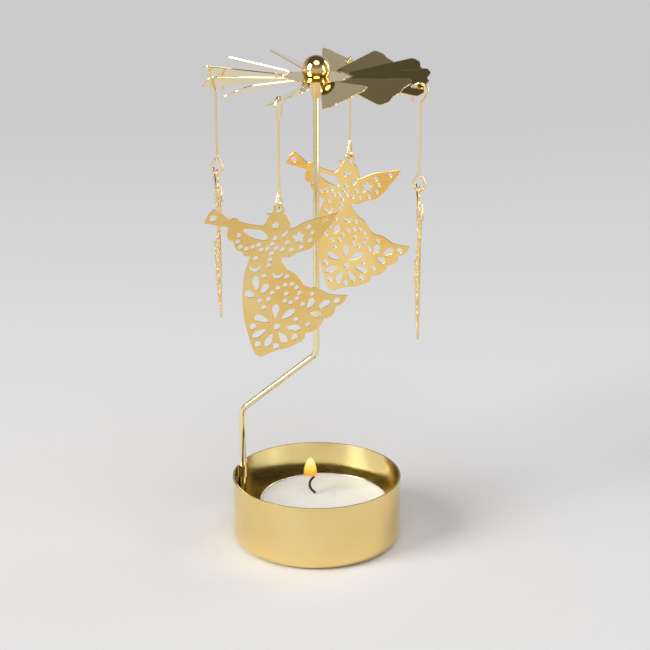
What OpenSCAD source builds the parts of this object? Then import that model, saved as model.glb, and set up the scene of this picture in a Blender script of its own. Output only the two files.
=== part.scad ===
// Angel chime carousel: a brass cup that holds a tealight, a bent wire mast clipped in the cup's
// rim, and a fan of twelve blades that turns on the mast's point with four flat angels hung from it.
// Millimetres. +Z is up, the mast's upper run lies on the Z axis and the cup's base on Z = 0.

/* [Cup] */
// Outer diameter of the cup
cup_d = 49.8; // [48:0.1:54]
// Height of the cup, from the table to the rim
cup_h = 20; // [18:0.5:26]
// Thickness of the cup's sheet
cup_wall = 0.5; // [0.4:0.05:0.7]
// Outer radius of the rounded corner between wall and base
cup_corner_r = 3.5; // [2:0.1:4.5]

/* [Rim clip] */
// Direction of the clip and of the mast's foot, seen from above
clip_angle = 161.6; // [150:0.1:175]
// Height of the tongue that is folded into the clip
clip_h = 3.5; // [3:0.1:6]
// Length of rim that the tongue was cut from
clip_window = 6; // [5.5:0.1:8]
// Width of the cut under the tongue
clip_slit = 0.35; // [0.2:0.05:0.5]
// Inner radius of the tongue's folds
clip_fold_r = 0.3; // [0.2:0.05:0.5]
// Opening between the tongue's end and the wall's line
clip_gap = 0.7; // [0.5:0.1:1.2]

/* [Mast] */
// Diameter of the mast's wire
mast_d = 1.8; // [1.5:0.05:2]
// Height of the lower bend's corner
mast_low_z = 37.8; // [32:0.1:40]
// Height of the upper bend's corner
mast_high_z = 58; // [54:0.1:62]
// Radius of both bends, at the middle of the wire
mast_bend_r = 4.5; // [3:0.1:6]
// Length of the ground point
mast_point_l = 2.6; // [2:0.1:3.5]
// Diameter of the point's blunt end
mast_point_d = 0.3; // [0.2:0.05:0.5]

/* [Fan] */
// Height of the middle of the fan's sheet
fan_z = 139; // [130:0.5:150]
// Thickness of the fan's sheet
fan_t = 0.3; // [0.2:0.05:0.4]
// Number of blades
blade_n = 12; // [12:4:12]
// Width of the slots between the blades
slot_w = 2.4; // [2:0.1:3]
// Distance from the axis to the slots' round inner ends
slot_start = 8.4; // [8:0.1:9.5]
// Twist of each blade about its own middle line
blade_twist = 23.4; // [18:0.1:28]
// Distance from the axis at which the twist is complete
twist_end = 10.7; // [10.6:0.1:12]
// Distance from the axis to the notches between the tip's lobes
tip_x = 30.75; // [29.5:0.05:32]
// How far the tip's lobes stand out beyond the notches
lobe_h = 0.55; // [0.3:0.05:0.8]
// Rounding of the blade's two outer corners
blade_corner_r = 1.3; // [0.8:0.1:2]

/* [Hub] */
// Diameter of the ball on top
ball_d = 7.9; // [7:0.1:9]
// Height of the ball's middle over its flat seat
ball_rise = 2; // [1.5:0.1:3]
// Diameter of the pivot sleeve's tube
sleeve_d = 2.6; // [2.5:0.05:3.2]
// Length of the sleeve below the fan
sleeve_drop = 5.6; // [4:0.1:7]
// Diameter of the sleeve's collar
collar_d = 3.6; // [3.4:0.1:5]
// Height of the sleeve's collar
collar_h = 1.3; // [1:0.1:2]
// Length of the sleeve inside the ball
sleeve_grip = 1.6; // [1:0.1:2.2]
// Gap between the mast and the sleeve, all round
mast_play = 0.08; // [0.05:0.01:0.1]
// Gap between pieces that are pushed together, all round
push_play = 0.02; // [0.01:0.01:0.05]

/* [Hangers] */
// Diameter of the hangers' wire
wire_d = 0.75; // [0.6:0.05:0.8]
// Direction of the first hanger, seen from above
hanger_angle = -19; // [-20:0.5:-18]
// Radius of the hook's arch, at the middle of the wire
hook_r = 2.15; // [2.05:0.05:2.4]
// Gap between the arch and the blade that carries it
hook_gap = 0.06; // [0.04:0.01:0.15]
// Length of the hook's tail below the arch
tail_l = 3.3; // [2.5:0.1:4]
// Radius of the hole in the blade
hook_hole_r = 0.95; // [0.85:0.05:1]
// Distance from the axis to the hole in the blade
hook_hole_x = 28.1; // [27.9:0.05:28.3]
// Distance from the axis to the hanger's straight stem
stem_x = 30.1; // [29.5:0.1:30.6]
// Height of the kink at the top of the stem over the loop
kink_rise = 24.2; // [22:0.1:25]
// Height of the wire's middle at the bottom of the loop
loop_z = 109.2; // [104:0.1:114]
// Width of the loop, outside the wire
loop_w = 4.1; // [3.9:0.1:4.6]
// Height of the loop, outside the wire
loop_h = 5.85; // [5.2:0.05:7]

/* [Angels] */
// Thickness of the angels' sheet
angel_t = 0.4; // [0.3:0.05:0.5]
// Height of the angel below the middle of its ring
figure_h = 41.2; // [36:0.1:44]
// Outer radius of the ring on the angel's head
ring_r = 1.6; // [1.5:0.05:1.8]
// Radius of the hole in the ring
ring_hole_r = 0.85; // [0.8:0.05:0.95]
// Gap between the ring and the wire that carries it
ring_gap = 0.12; // [0.1:0.01:0.15]
// Radius of the small punched dots
dot_r = 0.62; // [0.4:0.02:0.7]
// Radius of the large punched dots
big_dot_r = 0.86; // [0.5:0.02:0.95]
// Width of the punched petals
petal_w = 1.85; // [1.2:0.05:2]

/* [Tealight] */
// Outer diameter of the tealight's cup
tealight_d = 38; // [34:0.5:39]
// Height of the tealight's cup
tealight_h = 11.1; // [10:0.1:14]
// Thickness of the tealight's sheet
tealight_wall = 0.2; // [0.15:0.01:0.3]
// Depth of the wax below the tealight's rim
wax_drop = 0.3; // [0.3:0.1:3]
// Sideways place of the tealight in the cup
tealight_x = 2; // [0:0.05:2.5]
// Place of the tealight in the cup from front to back
tealight_y = 1.5; // [0:0.05:2]
// Diameter of the wick
wick_d = 0.75; // [0.6:0.05:1]
// Height of the wick above the wax
wick_rise = 5.5; // [4:0.1:7]
// Height of the wick's upright foot above the wax
wick_foot = 0.5; // [0.45:0.05:1]
// Diameter of the wick's foot plate
tab_d = 10; // [8:0.5:12]

/* [Hidden] */

$fn = 48;
// Small overlap that lets a cut run out past a face
cut = 0.5;
// How far a bend's end lies inside the straight wire, and how much thinner the bend is, all round
bend_seat = 0.04;
bend_inset = 0.004;

// Cup and rim clip
cup_r = cup_d / 2;
clip_bore_r = mast_d / 2 + push_play * 2;
clip_wall = cup_wall;
foot_x = cup_r - clip_wall - clip_bore_r;
window_to = clip_angle + asin((clip_bore_r + clip_wall / 3) / (cup_r - cup_wall / 2));
window_from = window_to - clip_window * 180 / (PI * cup_r);

// The mast's foot stands on the cup's rounded corner, on its outer edge
foot_reach = foot_x + mast_d / 2 - (cup_r - cup_corner_r);
foot_inner_r = cup_corner_r - cup_wall;
foot_z = cup_corner_r - sqrt(pow(foot_inner_r, 2) - pow(foot_reach, 2)) + push_play;

// Fan
blade_step = 360 / blade_n;
blade_half = blade_step / 2;
slot_r = slot_w / 2;
slot_x = slot_start + slot_r;
hub_rim = 0.1;
hub_x = slot_start + hub_rim;
fan_top = fan_z + fan_t / 2;
fan_under = fan_z - fan_t / 2;
neck_steps = 5;
lobe_n = 3;

// Ball, sleeve and the place of the mast's point
ball_z = fan_top + ball_rise;
sleeve_bore_r = mast_d / 2 + mast_play;
sleeve_top = fan_top + sleeve_grip;
seat_rise = 0.9;
seat_z = ball_z + seat_rise;
point_gap = 0.05;
mast_top = seat_z - point_gap;

// Hangers, each hooked on the low side of its blade
hanger_n = 4;
hanger_step = 360 / hanger_n;
wire_r = wire_d / 2;
hook_turn = hanger_angle + blade_half;
hook_side = hook_hole_x * sin(hook_turn);
hole_y = hook_side / cos(blade_twist);
bridge_in = hook_hole_x + hook_hole_r;
bridge_half = (tip_x - bridge_in) / 2;
hook_x = bridge_in + bridge_half;
bridge_top = fan_z + (hook_side + wire_r) * tan(blade_twist) + fan_t / (2 * cos(blade_twist));
arch_clear_r = hook_r - wire_r - hook_gap;
hook_z = bridge_top - sqrt(pow(arch_clear_r, 2) - pow(bridge_half, 2));
hook_flat = 0.16;
slant_top_drop = 0.7;
hook_bend_r = 1.3;
kink_z = loop_z + kink_rise;
loop_r = (loop_w - wire_d) / 2;
loop_top = loop_z + loop_h - wire_d;

// Angels
ring_drop = ring_hole_r - wire_r - ring_gap;
ring_z = loop_z - ring_drop;
// Turn of each angel's sheet as it hangs, for the right, back, left and front hanger
angel_turn = [90, -19.3, 97, 11.9];
curve_steps = 3;
ring_from = 195;
ring_to = -43;
// Height that the outline and the pattern are drawn at
drawn_h = 41.2;
figure_k = figure_h / drawn_h;

// Tealight
tealight_r = tealight_d / 2;
tealight_corner_r = 1;
tealight_z = cup_wall;
wax_z = tealight_z + tealight_h - wax_drop;
wax_play = 0.02;
wick_offset = [-2.65, 4];
wick_x = tealight_x + wick_offset[0];
wick_y = tealight_y + wick_offset[1];
tab_t = 0.2;
tab_socket_r = 0.9;
tab_socket_h = 3;
wick_lean = 1.5;

// Polished gold
function gold() = [0.86, 0.66, 0.30];
// Brushed gold of the hanging figures
function pale_gold() = [0.88, 0.73, 0.42];

function unit(v) = v / norm(v);
function turned(v) = atan2(v[1], v[0]);
function short_turn(a) = a > 180 ? a - 360 : (a < -180 ? a + 360 : a);

// Points of a closed curve that runs through every point of p, with a corner where one is repeated
function curve_at(a, b, c, d, t) =
    0.5 * (2 * b + (c - a) * t + (2 * a - 5 * b + 4 * c - d) * pow(t, 2)
    + (3 * b - a - 3 * c + d) * pow(t, 3));
function smooth(p, steps = curve_steps) = [
    for (i = [0 : len(p) - 1])
        let (n = len(p), a = p[(i + n - 1) % n], b = p[i], c = p[(i + 1) % n], d = p[(i + 2) % n])
            if (b != c)
                for (k = [0 : steps - 1]) curve_at(a, b, c, d, k / steps)
];

// Points of an arc from angle a0 to a1 about (x, y)
function arc(x, y, r, a0, a1, steps = 8) = [
    for (k = [0 : steps])
        let (a = a0 + (a1 - a0) * k / steps) [x + r * cos(a), y + r * sin(a)]
];

// Straight wire from a to b, both in the XZ plane
module wire_run(a, b, d) {
    if (norm(b - a) > 0.001)
        translate([a[0], 0, a[1]])
            rotate([0, 90 - turned(b - a), 0])
                cylinder(d = d, h = norm(b - a));
}

// Bend of a wire in the XZ plane, about c, from angle a0 through the given sweep. It is a hair
// thinner than the straight runs and its ends lie a little way inside them
module wire_bend(c, r, a0, sweep, d) {
    extra = bend_seat * 180 / (PI * r);
    translate([c[0], 0, c[1]])
        rotate([90, 0, 0])
            rotate([0, 0, (sweep > 0 ? a0 : a0 + sweep) - extra])
                rotate_extrude(angle = abs(sweep) + 2 * extra)
                    translate([r, 0])
                        circle(d = d - 2 * bend_inset);
}

// Bent wire in the XZ plane: p holds [x, z, bend radius] of each corner
module bent_wire(p, d) {
    flat = [for (q = p) [q[0], q[1]]];
    last = len(p) - 1;
    trim = [for (i = [0 : last])
        i == 0 || i == last ? 0
        : let (u = unit(flat[i - 1] - flat[i]), v = unit(flat[i + 1] - flat[i]))
            p[i][2] / tan(acos(u * v) / 2)];
    for (i = [0 : last - 1])
        let (u = unit(flat[i + 1] - flat[i]))
            wire_run(flat[i] + u * trim[i], flat[i + 1] - u * trim[i + 1], d);
    for (i = [1 : last - 1])
        let (
            u = unit(flat[i - 1] - flat[i]),
            v = unit(flat[i + 1] - flat[i]),
            c = flat[i] + unit(u + v) * norm([trim[i], p[i][2]]),
            a0 = turned(flat[i] + u * trim[i] - c),
            a1 = turned(flat[i] + v * trim[i] - c)
        )
            wire_bend(c, p[i][2], a0, short_turn(a1 - a0), d);
}

// Half section of a cup: outer radius, height, wall and outer corner radius
module cup_section(r, h, wall, corner_r) {
    polygon(concat(
        [[0, 0]],
        arc(r - corner_r, corner_r, corner_r, -90, 0),
        [[r, h], [r - wall, h]],
        arc(r - corner_r, corner_r, corner_r - wall, 0, -90),
        [[0, wall]]
    ));
}

// Sector of a plate, from angle a0 to a1, that reaches past radius r
module sector(r, a0, a1) {
    mid = (a0 + a1) / 2;
    polygon([[0, 0], [r * cos(a0), r * sin(a0)], [r * cos(mid), r * sin(mid)] * 1.05,
        [r * cos(a1), r * sin(a1)]]);
}

// Square with rounded corners
module rounded_square(half, r) {
    c = half - r;
    polygon(concat(arc(c, c, r, 0, 90), arc(-c, c, r, 90, 180), arc(-c, -c, r, 180, 270),
        arc(c, -c, r, 270, 360)));
}

// Clip in plan: the tongue comes off the wall, passes the mast's near side and goes round it
module clip_plan() {
    half = clip_bore_r + clip_wall;
    difference() {
        rounded_square(half, clip_fold_r + clip_wall);
        rounded_square(clip_bore_r, clip_fold_r);
        translate([half - clip_wall / 2, 0]) square([clip_wall, half + cut]);
        translate([half - clip_gap, -half - cut]) square([clip_gap + cut, half + cut + clip_bore_r]);
    }
}

// Brass cup, with the tongue of its rim folded round the mast
module candle_cup() {
    tongue_z = cup_h - clip_h;
    color(gold()) union() {
        difference() {
            rotate_extrude($fn = 96) cup_section(cup_r, cup_h, cup_wall, cup_corner_r);
            translate([0, 0, tongue_z - clip_slit])
                linear_extrude(clip_h + clip_slit + cut)
                    sector(cup_r + cut, window_from, window_to);
        }
        rotate([0, 0, clip_angle])
            translate([foot_x, 0, tongue_z])
                linear_extrude(clip_h) clip_plan();
    }
}

// Wire mast: up from the cup, across over the candle and up again on the axis to its point
module mast() {
    color(gold()) rotate([0, 0, clip_angle]) {
        bent_wire([
            [foot_x, foot_z, 0],
            [foot_x, mast_low_z, mast_bend_r],
            [0, mast_high_z, mast_bend_r],
            [0, mast_top - mast_point_l, 0]
        ], mast_d);
        translate([0, 0, mast_top - mast_point_l])
            cylinder(d1 = mast_d, d2 = mast_point_d, h = mast_point_l);
    }
}

// Half width of a blade, cut by straight slots, at distance x from the axis
function blade_w(x) = x * tan(blade_half) - slot_r / cos(blade_half);
// Half width of the neck, cut by the slots' round ends
function neck_w(x) =
    let (cx = slot_x * cos(blade_half), cy = slot_x * sin(blade_half))
        x < cx + slot_r * sin(blade_half) ? cy - sqrt(pow(slot_r, 2) - pow(x - cx, 2)) : blade_w(x);
// Twist of the neck at distance x, eased in and out
function neck_twist(x) =
    let (t = min(1, max(0, (x - hub_x) / (twist_end - hub_x)))) blade_twist * t * t * (3 - 2 * t);
function neck_ring(x) =
    let (w = neck_w(x) - bend_inset, a = neck_twist(x), h = fan_t / 2 - bend_inset)
        [for (q = [[-w, -h], [w, -h], [w, h], [-w, h]])
            [x, q[0] * cos(a) - q[1] * sin(a), q[0] * sin(a) + q[1] * cos(a)]];

// Twisted neck between the flat hub and a blade
module neck() {
    x = concat(
        [hub_x - bend_seat],
        [for (i = [0 : neck_steps]) hub_x + (twist_end - hub_x) * i / neck_steps],
        [twist_end + bend_seat]
    );
    points = [for (q = x) for (c = neck_ring(q)) c];
    last = 4 * (len(x) - 1);
    polyhedron(points, concat(
        [[0, 1, 2, 3]],
        [for (i = [0 : len(x) - 2], k = [0 : 3]) for (f = [0, 1])
            let (a = 4 * i + k, b = 4 * i + (k + 1) % 4)
                f == 0 ? [a, a + 4, b + 4] : [a, b + 4, b]],
        [[last + 3, last + 2, last + 1, last]]
    ));
}

// Blade outline in its own plane: straight sides, rounded corners and a tip of shallow lobes
module blade_outline() {
    half = blade_w(tip_x);
    lobe_half = half / lobe_n;
    lobe_r = (pow(lobe_half, 2) + pow(lobe_h, 2)) / (2 * lobe_h);
    spread = asin(lobe_half / lobe_r);
    difference() {
        polygon(concat(
            [[twist_end, blade_w(twist_end)], [twist_end, -blade_w(twist_end)]],
            [for (i = [-1 : 1])
                each arc(tip_x + lobe_h - lobe_r, 2 * lobe_half * i, lobe_r, -spread, spread)]
        ));
        for (side = [-1, 1])
            scale([1, side])
                corner_waste(tip_x, half, blade_half, blade_corner_r);
    }
}

// What is cut away to round a blade's outer corner
module corner_waste(x, y, slope, r) {
    open = 90 - slope;
    reach = r / tan(open / 2);
    u = [-cos(slope), -sin(slope)];
    v = [0, -1];
    c = [x, y] + unit(u + v) * norm([reach, r]);
    difference() {
        polygon([[x, y] + u * reach, [x, y] - (u + v) * cut, [x, y] + v * reach, c]);
        translate(c) circle(r = r);
    }
}

// Fan: one sheet, slotted into blades that are twisted like a windmill's
module fan() {
    hooked = [for (i = [0 : hanger_n - 1]) (i * blade_n / hanger_n + blade_n - 1) % blade_n];
    color(gold()) difference() {
        union() {
            translate([0, 0, fan_under])
                linear_extrude(fan_t)
                    difference() {
                        circle(r = hub_x / cos(blade_half), $fn = blade_n);
                        for (i = [0 : blade_n - 1])
                            rotate(i * blade_step) translate([slot_x, 0]) circle(r = slot_r);
                    }
            for (i = [0 : blade_n - 1])
                translate([0, 0, fan_z])
                    rotate([0, 0, blade_half + i * blade_step]) {
                        neck();
                        rotate([blade_twist, 0, 0])
                            linear_extrude(fan_t, center = true)
                                difference() {
                                    blade_outline();
                                    if (len([for (h = hooked) if (h == i) h]) > 0)
                                        translate([hook_hole_x, hole_y]) circle(r = hook_hole_r);
                                }
                    }
        }
        translate([0, 0, fan_under - cut])
            cylinder(d = sleeve_d + 2 * push_play, h = fan_t + 2 * cut);
    }
}

// Ball on the fan, cut flat below, with a stepped blind hole for the sleeve and the mast's point
module ball_knob() {
    point_slope = (mast_d - mast_point_d) / (2 * mast_point_l);
    seat_r = mast_point_d / 2 + point_gap;
    mouth_r = seat_r + (seat_z - sleeve_top) * point_slope + point_gap;
    color(gold()) difference() {
        translate([0, 0, ball_z]) sphere(d = ball_d, $fn = 72);
        translate([0, 0, fan_top - ball_d])
            cylinder(d = 2 * ball_d, h = ball_d);
        translate([0, 0, fan_top - cut])
            cylinder(d = sleeve_d + 2 * push_play, h = sleeve_grip + cut);
        translate([0, 0, sleeve_top - push_play])
            cylinder(r1 = mouth_r, r2 = seat_r, h = seat_z - sleeve_top + push_play);
    }
}

// Sleeve that clamps the fan against the ball and runs on the mast
module pivot_sleeve() {
    bottom = fan_under - sleeve_drop;
    color(gold()) difference() {
        union() {
            translate([0, 0, bottom]) cylinder(d = sleeve_d, h = sleeve_top - bottom);
            translate([0, 0, fan_under - collar_h]) cylinder(d = collar_d, h = collar_h);
        }
        translate([0, 0, bottom - cut])
            cylinder(r = sleeve_bore_r, h = sleeve_top - bottom + 2 * cut);
    }
}

// Wire hanger: hook over the blade, kinked stem and a drop-shaped loop
module hanger(i) {
    rise = loop_top - loop_z - loop_r;
    lean = asin(loop_r / rise);
    loop_c = [stem_x, loop_z + loop_r];
    color(gold()) rotate([0, 0, hanger_angle + i * hanger_step]) {
        bent_wire([
            [hook_x - hook_r, hook_z - tail_l, 0],
            [hook_x - hook_r, hook_z + hook_r, hook_r - hook_flat / 2],
            [hook_x + hook_r, hook_z + hook_r, hook_r - hook_flat / 2],
            [hook_x + hook_r, hook_z - slant_top_drop, hook_bend_r],
            [stem_x, kink_z, hook_bend_r],
            [stem_x, loop_top - wire_r, 0]
        ], wire_d);
        for (side = [-1, 1])
            wire_run([stem_x, loop_top], loop_c + loop_r * [side * cos(lean), sin(lean)], wire_d);
        wire_bend(loop_c, loop_r, 180 - lean, 180 + 2 * lean, wire_d);
    }
}

// Outline of the angel, in millimetres right of and above the middle of its ring. It is the
// traditional herald: a long horn to the left, a raised wing and a flared gown
head_edge = [[2.4, -2.2], [2.9, -3.7], [2.9, -4.7], [2.9, -4.7], [3.3, -5], [3.3, -5],
    [2.6, -5.7], [2.6, -5.7]];
wing_edge = [[4.4, -5.1], [7, -3.8], [10, -3], [12.6, -2.5], [16, -1.7], [16, -1.7], [14.3, -4.7],
    [12.4, -6.8], [11, -9], [9.3, -10.4], [8.4, -11.4], [6, -12], [4.4, -12.6], [2.7, -13.4],
    [0.8, -13.3], [0.8, -13.3]];
gown_right = [[0.6, -14.2], [1.5, -15.6], [2.8, -17.2], [4.8, -18.6], [6.2, -20.6], [7.5, -22],
    [10, -22.5], [12, -23.5], [13.7, -24.5], [16.4, -24.9], [18.8, -25.1], [18.8, -25.1]];
hem_edge = [[18.1, -26.6], [17, -27.7], [15.3, -28.3], [15.3, -28.3], [15.2, -29.8], [14, -31],
    [12.1, -31.5], [12.1, -31.5], [11.5, -33], [9.5, -34.7], [7, -35.3], [7, -35.3], [6.5, -37],
    [4.4, -38.2], [2, -39.2], [-0.6, -39.6], [-3.2, -40.4], [-5.4, -41.2], [-7, -40.2],
    [-8, -37.6]];
gown_left = [[-9.1, -33.5], [-10, -29.4], [-10.3, -24.5], [-10.1, -20.9], [-9.6, -17.4],
    [-8.7, -14.7], [-7.9, -12.5], [-7.9, -12.5]];
sleeve_edge = [[-9.5, -12.3], [-10.2, -11.1], [-10.2, -11.1], [-11.6, -10.5], [-12.3, -9],
    [-12.5, -7.9], [-12.5, -7.9], [-13.8, -7.5], [-14.1, -6.2], [-13.7, -4.1], [-13.7, -4.1]];
horn_edge = [[-17, -3.4], [-20.1, -2.7], [-20.1, -2.7], [-19.2, -0.6], [-17.5, 1.1], [-17.5, 1.1],
    [-15.2, -0.5], [-13.4, -1.9], [-12.2, -1.7], [-11.2, -1.9], [-10.3, -2.8], [-7.2, -3.7],
    [-4.3, -4.2], [-4.3, -4.2]];
brow_edge = [[-3.6, -3.5], [-3.2, -2.6], [-2.7, -1.9], [-2.7, -1.9], [-3.5, -0.6], [-3.5, -0.6],
    [-2.2, -1]];

// Punched pattern: the dots of the sleeve, the neck, the wing, the arch over the gown and the rest
small_dots = [
    [-10.9, -6.5], [-11.3, -8.2], [-10.6, -9.7], [-9, -10.3], [-7.3, -9.9], [-5.6, -9.4],
    [-4.9, -10.8], [-3.2, -10.6], [-1.9, -9.4], [-1.1, -7.8], [-0.9, -10.6], [0.9, -11.1],
    [-2.2, -12], [-2.6, -13.7], [-3, -15.3], [-6.5, -13.1], [-4.3, -18.2], [2, -18.8],
    [2.2, -9.2], [8.1, -5.2], [9.1, -6.8], [8.5, -9], [6, -10.7], [3.3, -11.3], [12.6, -3.7],
    [-5.5, -25.1], [-4.5, -27.1], [-3.1, -24.8], [-2.1, -23.1], [-0.5, -21.8], [1.5, -21.1],
    [3.4, -21], [4.7, -22], [5.5, -23.5], [4.7, -25.2], [3, -26.2], [1.4, -25.6], [1.8, -23.6],
    [6.3, -26.9], [4.4, -31.1], [7.7, -32.8], [9, -24.1]
];
big_dots = [[-17.7, -1.4], [-0.9, -32.8], [-7.5, -32.3], [-6.2, -37.5], [-1.2, -38.4], [4, -36.1],
    [15.8, -26.5]];
sleeve_opening = [[-9.7, -4.9], [-7, -5], [-4.5, -5.7], [-3.1, -7.5], [-3.7, -8.3], [-5.8, -7.9],
    [-8.2, -6.7]];
// Petals, each from its narrow to its round end: the large flower, then the left and right ones
petals = [
    [[-1.2, -30.4], [-1.1, -26.4]], [[0.1, -30.9], [4.1, -28.3]], [[1.6, -33.1], [5.7, -33.8]],
    [[-0.4, -34.3], [1.7, -37.7]], [[-2.1, -34.6], [-4, -38.5]], [[-3.6, -33.3], [-7.7, -35.4]],
    [[-3, -31.4], [-7, -29.4]],
    [[-6.2, -22.2], [-6.7, -18.1]], [[-5.1, -23.3], [-3.3, -20.5]], [[-6.8, -23.9], [-9.5, -22.4]],
    [[7.6, -28.4], [9.3, -25.4]], [[10.4, -28.4], [13.8, -26.4]], [[8.4, -29.5], [11.4, -30.4]]
];

// Petal from its narrow end a to its round end b
module petal(a, b) {
    l = norm(b - a);
    side = [[0.25, 0.3], [0.5, 0.46], [0.75, 0.5], [0.93, 0.28]];
    translate(a)
        rotate(turned(b - a))
            polygon(smooth(concat(
                [[0, 0], [0, 0]],
                [for (q = side) [q[0] * l, -q[1] * petal_w]],
                [[l, 0]],
                [for (i = [len(side) - 1 : -1 : 0]) [side[i][0] * l, side[i][1] * petal_w]]
            )));
}

// Five-pointed star with stout arms, one of them upright
module star(r) {
    points = 5;
    step = 180 / points;
    turn = 90;
    inner = 0.56 * r;
    polygon([for (k = [0 : 2 * points - 1])
        let (d = k % 2 == 0 ? r : inner, a = turn + k * step) [d * cos(a), d * sin(a)]]);
}

// Crescent with its horns up
module crescent(r = 1.45, rise = 1) {
    difference() {
        circle(r = r);
        translate([0, rise]) circle(r = r);
    }
}

// Round-ended slot from a to b
module slot(a, b, w) {
    translate(a) circle(d = w);
    translate(b) circle(d = w);
    translate(a) rotate(turned(b - a)) translate([0, -w / 2]) square([norm(b - a), w]);
}

module punched_pattern() {
    circle(r = ring_hole_r);
    for (p = figure_k * small_dots) translate(p) circle(r = dot_r, $fn = 24);
    for (p = figure_k * big_dots) translate(p) circle(r = big_dot_r, $fn = 24);
    for (p = petals) petal(figure_k * p[0], figure_k * p[1]);
    scale(figure_k) {
        polygon(smooth(sleeve_opening));
        translate([-0.9, -4.3]) star(1.2);
        translate([5.4, -8]) star(1.9);
        translate([-6.7, -15.5]) crescent();
        translate([-0.5, -17.8]) crescent();
        slot([1.1, -7.3], [2.1, -6.4], 0.75);
    }
}

// Angel: flat punched sheet, hung by the ring on its head
module angel(i) {
    ring = arc(0, 0, ring_r, ring_from, ring_to);
    figure = concat(head_edge, wing_edge, gown_right, hem_edge, gown_left, sleeve_edge,
        horn_edge, brow_edge);
    edge = concat([ring[0]], ring, [ring[len(ring) - 1]], figure_k * figure);
    color(pale_gold())
        rotate([0, 0, hanger_angle + i * hanger_step])
            translate([stem_x, 0, ring_z])
                rotate([90, 0, angel_turn[i] - hanger_angle - i * hanger_step])
                    linear_extrude(angel_t, center = true)
                        difference() {
                            polygon(smooth(edge));
                            punched_pattern();
                        }
}

// Thin pressed cup of the tealight
module tealight_cup() {
    color([0.82, 0.82, 0.84])
        translate([tealight_x, tealight_y, tealight_z])
            rotate_extrude($fn = 96)
                cup_section(tealight_r, tealight_h, tealight_wall, tealight_corner_r);
}

module wax() {
    base = tealight_z + tealight_wall;
    corner_r = tealight_corner_r - tealight_wall;
    color([0.95, 0.94, 0.91]) difference() {
        translate([tealight_x, tealight_y, base + wax_play])
            rotate_extrude($fn = 96)
                polygon(concat(
                    [[0, 0]],
                    arc(tealight_r - tealight_corner_r, corner_r, corner_r - wax_play, -90, 0),
                    [[tealight_r - tealight_wall - wax_play, wax_z - base - wax_play],
                        [0, wax_z - base - wax_play]]
                ));
        translate([wick_x, wick_y, base - cut])
            cylinder(r = tab_d / 2 + wax_play, h = tab_t + wax_play + cut);
        translate([wick_x, wick_y, base])
            cylinder(r = tab_socket_r + wax_play, h = tab_socket_h + wax_play);
        translate([wick_x, wick_y, base])
            cylinder(r = wick_d / 2 + wax_play, h = tealight_h);
    }
}

// Wick: straight in the wax, then bowed to the left
module wick() {
    rise = wick_rise - wick_foot;
    bow_r = (pow(rise / 2, 2) + pow(wick_lean, 2)) / (2 * wick_lean);
    base = tealight_z + tealight_wall + tab_t;
    foot = wax_z + wick_foot;
    half = asin(rise / (2 * bow_r));
    color([0.08, 0.07, 0.07])
        translate([wick_x, wick_y, 0]) {
            translate([0, 0, base]) cylinder(d = wick_d, h = foot + wick_d / 3 - base);
            wire_bend([bow_r * cos(half), foot + rise / 2], bow_r, 180 - half, 2 * half, wick_d);
        }
}

// Stamped plate with a neck that holds the wick's lower end
module wick_tab() {
    base = tealight_z + tealight_wall;
    color([0.75, 0.75, 0.77])
        translate([wick_x, wick_y, base])
            difference() {
                union() {
                    cylinder(d = tab_d, h = tab_t);
                    cylinder(r = tab_socket_r, h = tab_socket_h);
                }
                translate([0, 0, tab_t])
                    cylinder(r = wick_d / 2 + wax_play, h = tab_socket_h);
            }
}

candle_cup();
mast();
fan();
ball_knob();
pivot_sleeve();
hanger(0);  // hanger_right
hanger(1);  // hanger_back
hanger(2);  // hanger_left
hanger(3);  // hanger_front
angel(0);  // angel_right
angel(1);  // angel_back
angel(2);  // angel_left
angel(3);  // angel_front
tealight_cup();
wax();
wick();
wick_tab();
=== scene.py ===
import math

import bmesh
import bpy
from mathutils import Matrix, Vector


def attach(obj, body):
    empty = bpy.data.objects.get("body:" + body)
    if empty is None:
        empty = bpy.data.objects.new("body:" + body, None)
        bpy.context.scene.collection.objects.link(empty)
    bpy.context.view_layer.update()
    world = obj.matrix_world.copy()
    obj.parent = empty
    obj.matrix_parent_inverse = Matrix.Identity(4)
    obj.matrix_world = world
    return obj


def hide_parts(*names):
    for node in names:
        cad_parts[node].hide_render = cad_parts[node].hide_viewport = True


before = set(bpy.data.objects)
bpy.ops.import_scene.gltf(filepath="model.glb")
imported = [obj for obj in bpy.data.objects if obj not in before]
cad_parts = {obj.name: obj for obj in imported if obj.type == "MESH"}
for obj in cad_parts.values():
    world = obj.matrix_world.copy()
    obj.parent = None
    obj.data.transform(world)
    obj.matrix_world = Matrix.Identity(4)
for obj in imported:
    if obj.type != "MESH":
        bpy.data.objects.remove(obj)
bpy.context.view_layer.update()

# Studio: a pale floor that runs out to the horizon, a dim ceiling for the metal to reflect, a
# wide silk overhead and three soft boxes. The camera looks down from half a metre away, a
# little above the fan.
MM = 0.001
HORIZON = (0.60, 0.60, 0.61, 1)
scene = bpy.context.scene
scene.view_settings.view_transform = "Standard"


def linked(name, data):
    """New object that holds data, in the scene."""
    obj = bpy.data.objects.new(name, data)
    scene.collection.objects.link(obj)
    return obj


def add_camera():
    """A camera with a long lens, tilted down at the object."""
    data = bpy.data.cameras.new("camera")
    data.sensor_width = 36
    data.lens = 101.27
    data.clip_start = 0.01
    data.clip_end = 100
    camera = linked("camera", data)
    camera.location = (0.00245, -0.5, 0.23615)
    camera.rotation_euler = (math.radians(71.28), 0, 0)
    scene.camera = camera


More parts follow.
